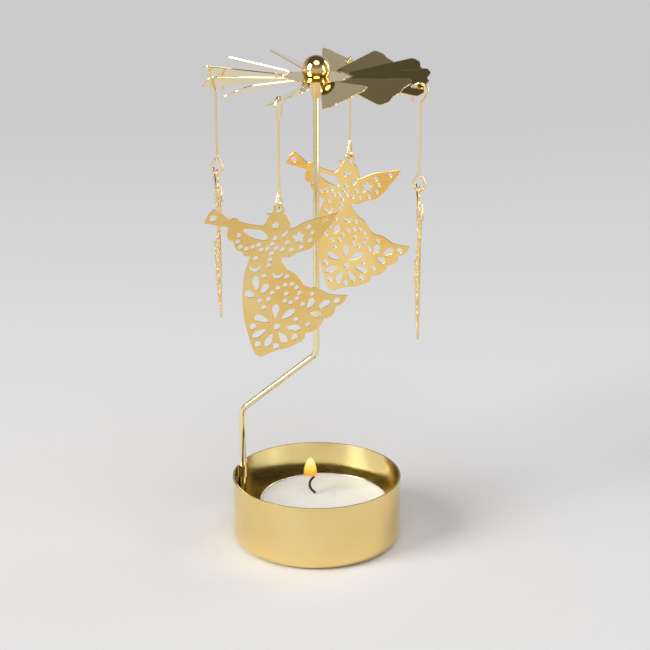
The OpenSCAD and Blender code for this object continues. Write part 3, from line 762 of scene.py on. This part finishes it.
# Angels: flat figures blanked from brass sheet in one stroke, with the pattern of dots, stars,
# crescents and petals pierced through. Satin plated; the blanking leaves the edges slightly
# rounded. The ring on the head hangs in the hanger's loop.
ANGEL_TURNS = {"right": 90, "back": -19.3, "left": 97, "front": 11.9}
ANGEL_T, RING_Z = 0.4, 108.845
head_edge = [(2.4, -2.2), (2.9, -3.7), (2.9, -4.7), (2.9, -4.7), (3.3, -5), (3.3, -5),
             (2.6, -5.7), (2.6, -5.7)]
wing_edge = [(4.4, -5.1), (7, -3.8), (10, -3), (12.6, -2.5), (16, -1.7), (16, -1.7),
             (14.3, -4.7), (12.4, -6.8), (11, -9), (9.3, -10.4), (8.4, -11.4), (6, -12),
             (4.4, -12.6), (2.7, -13.4), (0.8, -13.3), (0.8, -13.3)]
gown_right = [(0.6, -14.2), (1.5, -15.6), (2.8, -17.2), (4.8, -18.6), (6.2, -20.6), (7.5, -22),
              (10, -22.5), (12, -23.5), (13.7, -24.5), (16.4, -24.9), (18.8, -25.1),
              (18.8, -25.1)]
hem_edge = [(18.1, -26.6), (17, -27.7), (15.3, -28.3), (15.3, -28.3), (15.2, -29.8), (14, -31),
            (12.1, -31.5), (12.1, -31.5), (11.5, -33), (9.5, -34.7), (7, -35.3), (7, -35.3),
            (6.5, -37), (4.4, -38.2), (2, -39.2), (-0.6, -39.6), (-3.2, -40.4), (-5.4, -41.2),
            (-7, -40.2), (-8, -37.6)]
gown_left = [(-9.1, -33.5), (-10, -29.4), (-10.3, -24.5), (-10.1, -20.9), (-9.6, -17.4),
             (-8.7, -14.7), (-7.9, -12.5), (-7.9, -12.5)]
sleeve_edge = [(-9.5, -12.3), (-10.2, -11.1), (-10.2, -11.1), (-11.6, -10.5), (-12.3, -9),
               (-12.5, -7.9), (-12.5, -7.9), (-13.8, -7.5), (-14.1, -6.2), (-13.7, -4.1),
               (-13.7, -4.1)]
horn_edge = [(-17, -3.4), (-20.1, -2.7), (-20.1, -2.7), (-19.2, -0.6), (-17.5, 1.1),
             (-17.5, 1.1), (-15.2, -0.5), (-13.4, -1.9), (-12.2, -1.7), (-11.2, -1.9),
             (-10.3, -2.8), (-7.2, -3.7), (-4.3, -4.2), (-4.3, -4.2)]
brow_edge = [(-3.6, -3.5), (-3.2, -2.6), (-2.7, -1.9), (-2.7, -1.9), (-3.5, -0.6),
             (-3.5, -0.6), (-2.2, -1)]
small_dots = [
    (-10.9, -6.5), (-11.3, -8.2), (-10.6, -9.7), (-9, -10.3), (-7.3, -9.9), (-5.6, -9.4),
    (-4.9, -10.8), (-3.2, -10.6), (-1.9, -9.4), (-1.1, -7.8), (-0.9, -10.6), (0.9, -11.1),
    (-2.2, -12), (-2.6, -13.7), (-3, -15.3), (-6.5, -13.1), (-4.3, -18.2), (2, -18.8),
    (2.2, -9.2), (8.1, -5.2), (9.1, -6.8), (8.5, -9), (6, -10.7), (3.3, -11.3), (12.6, -3.7),
    (-5.5, -25.1), (-4.5, -27.1), (-3.1, -24.8), (-2.1, -23.1), (-0.5, -21.8), (1.5, -21.1),
    (3.4, -21), (4.7, -22), (5.5, -23.5), (4.7, -25.2), (3, -26.2), (1.4, -25.6), (1.8, -23.6),
    (6.3, -26.9), (4.4, -31.1), (7.7, -32.8), (9, -24.1)]
big_dots = [(-17.7, -1.4), (-0.9, -32.8), (-7.5, -32.3), (-6.2, -37.5), (-1.2, -38.4),
            (4, -36.1), (15.8, -26.5)]
sleeve_opening = [(-9.7, -4.9), (-7, -5), (-4.5, -5.7), (-3.1, -7.5), (-3.7, -8.3),
                  (-5.8, -7.9), (-8.2, -6.7)]
petals = [
    ((-1.2, -30.4), (-1.1, -26.4)), ((0.1, -30.9), (4.1, -28.3)), ((1.6, -33.1), (5.7, -33.8)),
    ((-0.4, -34.3), (1.7, -37.7)), ((-2.1, -34.6), (-4, -38.5)), ((-3.6, -33.3), (-7.7, -35.4)),
    ((-3, -31.4), (-7, -29.4)), ((-6.2, -22.2), (-6.7, -18.1)), ((-5.1, -23.3), (-3.3, -20.5)),
    ((-6.8, -23.9), (-9.5, -22.4)), ((7.6, -28.4), (9.3, -25.4)),
    ((10.4, -28.4), (13.8, -26.4)), ((8.4, -29.5), (11.4, -30.4))]


def smooth(points, steps):
    """Closed curve through every point, with a corner where one is repeated."""
    curve = []
    count = len(points)
    for i in range(count):
        a, b, c, d = (Vector(points[(i + k) % count]) for k in (-1, 0, 1, 2))
        if b == c:
            continue
        for k in range(steps):
            t = k / steps
            curve.append(0.5 * (2 * b + (c - a) * t + (2 * a - 5 * b + 4 * c - d) * t * t
                                + (3 * b - a - 3 * c + d) * t ** 3))
    return curve


def petal(start, end):
    """A drop with its point at start, widest near its round end."""
    a, b = Vector(start), Vector(end)
    along, width = b - a, 1.85
    aside = Vector((-along.y, along.x)).normalized()
    half = [(0.25, 0.3), (0.5, 0.46), (0.75, 0.5), (0.93, 0.28)]
    points = [a, a] + [a + along * t - aside * w * width for t, w in half] + [b]
    return smooth(points + [a + along * t + aside * w * width for t, w in reversed(half)], 5)


def star(x, y, r):
    """A five-pointed star that stands on two points."""
    inner = 0.56 * r
    return [Vector((x, y)) + (r if k % 2 == 0 else inner) * Vector(
        (math.cos(math.radians(90 + 36 * k)), math.sin(math.radians(90 + 36 * k))))
        for k in range(10)]


def crescent(x, y):
    """A moon on its back: the lower arc of one circle and of one a little higher."""
    r, rise = 1.45, 1
    horn = math.degrees(math.asin(rise / 2 / r))
    lower = arc(x, y, r, horn, -180 - horn, 26)
    return lower + arc(x, y + rise, r, 180 + horn, 360 - horn, 20)[1:-1]


def slot_outline(a, b, width):
    """A slot with round ends about a and b."""
    turn = math.degrees(math.atan2(b[1] - a[1], b[0] - a[0]))
    start = arc(*a, width / 2, turn + 90, turn + 270, 12)
    return start + arc(*b, width / 2, turn - 90, turn + 90, 12)


def angel_outlines():
    """Outline of the figure, then every pierced opening, about the middle of the ring."""
    ring_r, hole_r, small_r, big_r = 1.6, 0.85, 0.62, 0.86
    ring = arc(0, 0, ring_r, 195, -43, 8)
    edge = [ring[0]] + ring + [ring[-1]]
    for part in (head_edge, wing_edge, gown_right, hem_edge, gown_left, sleeve_edge, horn_edge,
                 brow_edge):
        edge = edge + part
    openings = [arc(0, 0, hole_r, 0, 350, 35)]
    openings += [arc(*p, small_r, 0, 345, 23) for p in small_dots]
    openings += [arc(*p, big_r, 0, 348, 29) for p in big_dots]
    openings += [smooth(sleeve_opening, 8), star(-0.9, -4.3, 1.2), star(5.4, -8, 1.9)]
    openings += [crescent(-6.7, -15.5), crescent(-0.5, -17.8)]
    openings += [slot_outline((1.1, -7.3), (2.1, -6.4), 0.75)]
    return [smooth(edge, 6)] + openings + [petal(*p) for p in petals]


def make_angels():
    """Fills one flat outline with its openings, and hangs a copy of it in every loop."""
    finish = plated_brass("satin_angel_sheet", (0.95, 0.71, 0.30), (0.92, 0.61, 0.19),
                          (0.20, 0.28), (1, 1, 1), 1500, 0.05, 70)
    rounding = 0.06
    curve = bpy.data.curves.new("angel", "CURVE")
    curve.dimensions = "2D"
    curve.fill_mode = "BOTH"
    curve.extrude = ANGEL_T / 2 - rounding
    curve.bevel_depth = rounding
    curve.bevel_resolution = 1
    curve.offset = -rounding
    for outline in angel_outlines():
        spline = curve.splines.new("POLY")
        spline.points.add(len(outline) - 1)
        for point, (x, y) in zip(spline.points, outline):
            point.co = (x, y, 0, 1)
        spline.use_cyclic_u = True
    pattern = bpy.data.objects.new("angel", curve)
    blank = bpy.data.meshes.new_from_object(pattern)
    for name, turn in ANGEL_TURNS.items():
        data = blank.copy()
        data.name = "punched_angel_" + name
        hang = Matrix.Rotation(math.radians(HANGER_TURNS[name]), 4, "Z") @ Vector(
            (STEM_X, 0, RING_Z))
        data.transform(Matrix.Scale(MM, 4) @ Matrix.Translation(hang)
                       @ Matrix.Rotation(math.radians(turn), 4, "Z")
                       @ Matrix.Rotation(math.radians(90), 4, "X"))
        data.materials.clear()
        data.materials.append(finish)
        turned_out(data, 0.001 * MM, 20)
        angel = linked("punched_angel_" + name, data)
        finish_piece(angel, "angel_" + name, "satin_gold", "angel_" + name)
    bpy.data.objects.remove(pattern)


make_angels()

# Tealight: a pressed aluminium cup with a rolled lip, filled with wax. Round the wick the wax
# has begun to melt into a shallow glossy pool; against the cup it stands up in a thin edge.
LIGHT_X, LIGHT_Y, LIGHT_R, LIGHT_Z, LIGHT_H, LIGHT_WALL = 2, 1.5, 19, 0.5, 11.1, 0.2
WICK_X, WICK_Y, WAX_Z = -0.65, 5.5, 11.3
LIP = 0.24


def pressed_aluminium():
    """Bright thin sheet with faint upright lines from the press."""
    material, nodes, links, output = new_material("pressed_aluminium")
    shader = nodes.new("ShaderNodeBsdfPrincipled")
    shader.inputs["Metallic"].default_value = 1
    coords = nodes.new("ShaderNodeTexCoord").outputs["Object"]
    lines = noise(nodes, links, coords, 1800, 2, (0.3, 0.3, 1))
    links.new(blended(nodes, links, lines, (0.87, 0.87, 0.88), (0.78, 0.78, 0.80)),
              shader.inputs["Base Color"])
    links.new(ranged(nodes, links, lines, 0.16, 0.34), shader.inputs["Roughness"])
    finished(nodes, links, shader, output, lines, 0.4, 0.02 * MM)
    return material


ALUMINIUM = pressed_aluminium()


def make_tealight_cup():
    top, corner = LIGHT_Z + LIGHT_H, 1
    inner = LIGHT_R - LIGHT_WALL
    profile = [(0, LIGHT_Z), (8, LIGHT_Z), (16, LIGHT_Z)]
    profile += arc(LIGHT_R - corner, LIGHT_Z + corner, corner, -90, 0, 8)
    profile += [(LIGHT_R, top - 2 * LIP - 0.1)]
    profile += arc(LIGHT_R - LIP + 0.03, top - LIP, LIP, -30, 180, 14)
    profile += [(inner - 0.1, top - LIP - 0.25), (inner, top - 2 * LIP - 0.1)]
    profile += arc(LIGHT_R - corner, LIGHT_Z + corner, corner - LIGHT_WALL, 0, -90, 6)
    profile += [(0, LIGHT_Z + LIGHT_WALL)]
    cup = lathe("aluminium_cup", profile, ALUMINIUM, 128, (LIGHT_X, LIGHT_Y))
    finish_piece(cup, "tealight", "tealight_metal", "tealight_cup")


def candle_wax():
    """White wax, smoother and a little warmer in the pool round the wick."""
    material, nodes, links, output = new_material("candle_wax")
    shader = nodes.new("ShaderNodeBsdfPrincipled")
    coords = nodes.new("ShaderNodeTexCoord")
    centred = nodes.new("ShaderNodeMapping")
    centred.inputs["Location"].default_value = (-WICK_X * MM, -WICK_Y * MM, -WAX_Z * MM)
    distance = nodes.new("ShaderNodeVectorMath")
    distance.operation = "LENGTH"
    links.new(coords.outputs["Object"], centred.inputs["Vector"])
    links.new(centred.outputs[0], distance.inputs[0])
    cloud = noise(nodes, links, coords.outputs["Object"], 240, 5)
    wander = nodes.new("ShaderNodeMath")
    wander.operation = "MULTIPLY_ADD"
    wander.inputs[1].default_value = 0.004
    links.new(cloud, wander.inputs[0])
    links.new(distance.outputs["Value"], wander.inputs[2])
    pool = ranged(nodes, links, wander.outputs[0], 0, 1, (0.0075, 0.0135))
    links.new(blended(nodes, links, pool, (0.96, 0.95, 0.93), (0.97, 0.965, 0.95)),
              shader.inputs["Base Color"])
    links.new(ranged(nodes, links, pool, 0.26, 0.40, (0, 1)), shader.inputs["Roughness"])
    shader.inputs["Subsurface Weight"].default_value = 0.7
    shader.inputs["Subsurface Radius"].default_value = (1.0, 0.75, 0.55)
    shader.inputs["Subsurface Scale"].default_value = 0.003
    shader.inputs["IOR"].default_value = 1.44
    grain = noise(nodes, links, coords.outputs["Object"], 900, 4)
    bump = finished(nodes, links, shader, output, grain, 1, 0.06 * MM)
    links.new(ranged(nodes, links, pool, 0.05, 0.4, (0, 1)), bump.inputs["Strength"])
    return material


def make_wax():
    """The wax block: its top is laid out on rays from the wick to the cup's lip."""
    radius = LIGHT_R - 2 * LIP + 0.02
    body = LIGHT_R - LIGHT_WALL - 0.02
    base, corner = LIGHT_Z + LIGHT_WALL + 0.02, 0.78
    shoulder = LIGHT_Z + LIGHT_H - 2 * LIP - 0.35
    rays, steps, hole, pool_r = 144, 40, 0.36, 9.3
    wick = Vector((WICK_X, WICK_Y))
    centre = Vector((LIGHT_X, LIGHT_Y))
    mesh = bmesh.new()
    rows = []
    for k in range(rays):
        turn = Vector((math.cos(2 * math.pi * k / rays), math.sin(2 * math.pi * k / rays)))
        out = wick - centre
        reach = -out.dot(turn) + math.sqrt(out.dot(turn) ** 2 - out.length_squared + radius ** 2)
        row = []
        for i in range(steps + 1):
            d = hole + (reach - hole) * (i / steps) ** 1.15
            edge = reach - d
            pool = 1 / (1 + math.exp((d - pool_r) / 0.9))
            z = WAX_Z - 0.03 - 0.10 * pool + 0.16 * math.exp(-edge / 0.2)
            z += 0.16 * math.exp(-(d - hole) / 0.4) - 0.04 * math.exp(-((edge - 3.5) / 2.6) ** 2)
            z += 0.02 * (1 - pool) * math.sin(3 * 2 * math.pi * k / rays + d * 0.35)
            at = wick + turn * d
            row.append((at.x, at.y, z))
        side = (wick + turn * reach - centre) / radius
        for r, z in [(radius, shoulder + 0.3), (body, shoulder)] + arc(
                body - corner, base + corner, corner, 0, -90, 6):
            row.append((*(centre + side * r), z))
        rows.append([mesh.verts.new(Vector(p) * MM) for p in row])
    foot = mesh.verts.new(Vector((LIGHT_X, LIGHT_Y, base)) * MM)
    well = mesh.verts.new(Vector((WICK_X, WICK_Y, WAX_Z - 0.4)) * MM)
    for k in range(rays):
        here, there = rows[k], rows[(k + 1) % rays]
        mesh.faces.new((well, here[0], there[0]))
        mesh.faces.new((foot, there[-1], here[-1]))
        for i in range(len(here) - 1):
            mesh.faces.new((here[i], here[i + 1], there[i + 1], there[i]))
    wax = kept_mesh("candle_wax", mesh, candle_wax())
    turned_out(wax.data)
    finish_piece(wax, "tealight", "wax", "wax")


make_tealight_cup()
make_wax()

# Wick: three cotton strands laid together, crimped into a stamped plate under the wax. Its top
# is charred and has bowed to the left.


def charred_cotton():
    """Pale cotton below the wax, black above it."""
    material, nodes, links, output = new_material("charred_cotton")
    shader = nodes.new("ShaderNodeBsdfPrincipled")
    coords = nodes.new("ShaderNodeTexCoord").outputs["Object"]
    height = nodes.new("ShaderNodeSeparateXYZ")
    links.new(coords, height.inputs[0])
    fuzz = noise(nodes, links, coords, 5200, 5)
    burnt = ranged(nodes, links, height.outputs["Z"], 0, 1, (0.0109, 0.0117))
    char = blended(nodes, links, fuzz, (0.007, 0.006, 0.006), (0.030, 0.025, 0.023))
    mix = nodes.new("ShaderNodeMix")
    mix.data_type = "RGBA"
    mix.inputs["A"].default_value = (0.62, 0.56, 0.46, 1)
    links.new(burnt, mix.inputs["Factor"])
    links.new(char, mix.inputs["B"])
    links.new(mix.outputs["Result"], shader.inputs["Base Color"])
    shader.inputs["Roughness"].default_value = 0.9
    finished(nodes, links, shader, output, fuzz, 0.8, 0.06 * MM)
    return material


def make_wick():
    """Three strands wound round a spine that stands up and then bows to the left."""
    rise, lean, foot = 5, 1.5, WAX_Z + 0.5
    bow = ((rise / 2) ** 2 + lean ** 2) / (2 * lean)
    half = math.asin(rise / (2 * bow))
    centre = Vector((bow * math.cos(half), foot + rise / 2))
    spine = [Vector((0, z)) for z in (0.92, 3, 6, 9, 10.4, 11.3)]
    spine += [Vector(p) for p in arc(*centre, bow, 180 + math.degrees(half),
                                     180 - math.degrees(half), 44)]
    finish = charred_cotton()
    strands = []
    lay, offset, strand_r = 2.3, 0.185, 0.205
    for s in range(3):
        path, radii, length = [], [], 0
        for i, p in enumerate(spine):
            ahead = spine[min(i + 1, len(spine) - 1)]
            behind = spine[max(i - 1, 0)]
            along = (ahead - behind).normalized()
            aside = Vector((along.y, -along.x))
            if i:
                length += (p - spine[i - 1]).length
            turn = 2 * math.pi * (length / lay + s / 3)
            out = aside * offset * math.cos(turn)
            path.append(Vector((WICK_X + p.x + out.x, WICK_Y + offset * math.sin(turn),
                                p.y + out.y)))
            radii.append(strand_r)
        radii[-1], radii[-2] = 0.05, 0.14
        strands.append(swept_wire(f"strand_{s}", path, radii, Matrix.Identity(4), finish, 12))
    wick = joined("cotton_wick", strands)
    finish_piece(wick, "tealight", "wick", "wick")


def joined(name, parts):
    """One object of several, each still a closed shell of its own."""
    mesh = bmesh.new()
    for part in parts:
        mesh.from_mesh(part.data)
    whole = kept_mesh(name, mesh, parts[0].data.materials[0])
    for part in parts:
        bpy.data.objects.remove(part)
    return whole


def make_wick_plate():
    base = LIGHT_Z + LIGHT_WALL
    plate_t, socket_r, socket_h, bore, plate_r, edge = 0.2, 0.9, 3, 0.395, 5, 0.05
    profile = [(0, base), (plate_r - edge, base), (plate_r, base + edge),
               (plate_r, base + plate_t - edge), (plate_r - edge, base + plate_t),
               (socket_r + 0.3, base + plate_t), (socket_r + 0.08, base + plate_t + 0.08),
               (socket_r, base + plate_t + 0.3), (socket_r, base + socket_h - 0.08),
               (socket_r - 0.08, base + socket_h), (bore + edge, base + socket_h),
               (bore, base + socket_h - edge), (bore, base + plate_t), (0, base + plate_t)]
    plate = lathe("wick_plate", profile, ALUMINIUM, 64, (WICK_X, WICK_Y))
    finish_piece(plate, "tealight", "wick_metal", "wick_tab")


make_wick()
make_wick_plate()

# Flame: the candle is lit, so a small still flame stands on the wick. It is nothing solid, and
# fades out towards the wick.


def flame_light():
    """Glow that goes from orange at the foot to pale yellow at the tip."""
    material, nodes, links, output = new_material("candle_flame")
    shader = nodes.new("ShaderNodeBsdfPrincipled")
    coords = nodes.new("ShaderNodeTexCoord").outputs["Object"]
    height = nodes.new("ShaderNodeSeparateXYZ")
    links.new(coords, height.inputs[0])
    rise = ranged(nodes, links, height.outputs["Z"], 0, 1, (0.0154, 0.0230))
    ramp = nodes.new("ShaderNodeValToRGB")
    links.new(rise, ramp.inputs["Fac"])
    stops = ramp.color_ramp.elements
    stops[0].position, stops[0].color = 0.34, (0.95, 0.38, 0.025, 1)
    stops[1].position, stops[1].color = 0.90, (1.0, 0.95, 0.43, 1)
    middle = stops.new(0.58)
    middle.color = (1.0, 0.76, 0.10, 1)
    shader.inputs["Base Color"].default_value = (0, 0, 0, 1)
    shader.inputs["Roughness"].default_value = 1
    shader.inputs["Specular IOR Level"].default_value = 0
    links.new(ramp.outputs["Color"], shader.inputs["Emission Color"])
    shader.inputs["Emission Strength"].default_value = 1.0
    links.new(ranged(nodes, links, rise, 0.0, 0.96, (0.25, 0.37)), shader.inputs["Alpha"])
    links.new(shader.outputs[0], output.inputs["Surface"])
    return material


def make_flame():
    x, y = WICK_X - 1.3, WICK_Y
    between = 3
    widths = [(15.3, 0), (15.5, 0.6), (15.9, 1.3), (16.4, 1.75), (17, 2), (17.7, 2.05),
              (18.6, 1.97), (19.6, 1.8), (20.6, 1.57), (21.4, 1.3), (22.1, 0.98), (22.55, 0.68),
              (22.8, 0.42), (22.93, 0.2), (22.97, 0)]
    profile = [(0, widths[0][0])]
    for (z0, r0), (z1, r1) in zip(widths, widths[1:]):
        for k in range(1, between + 1):
            profile.append((max(r0 + (r1 - r0) * k / between, 0), z0 + (z1 - z0) * k / between))
    flame = lathe("flame", profile, flame_light(), 48, (x, y))
    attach(flame, "tealight")


make_flame()
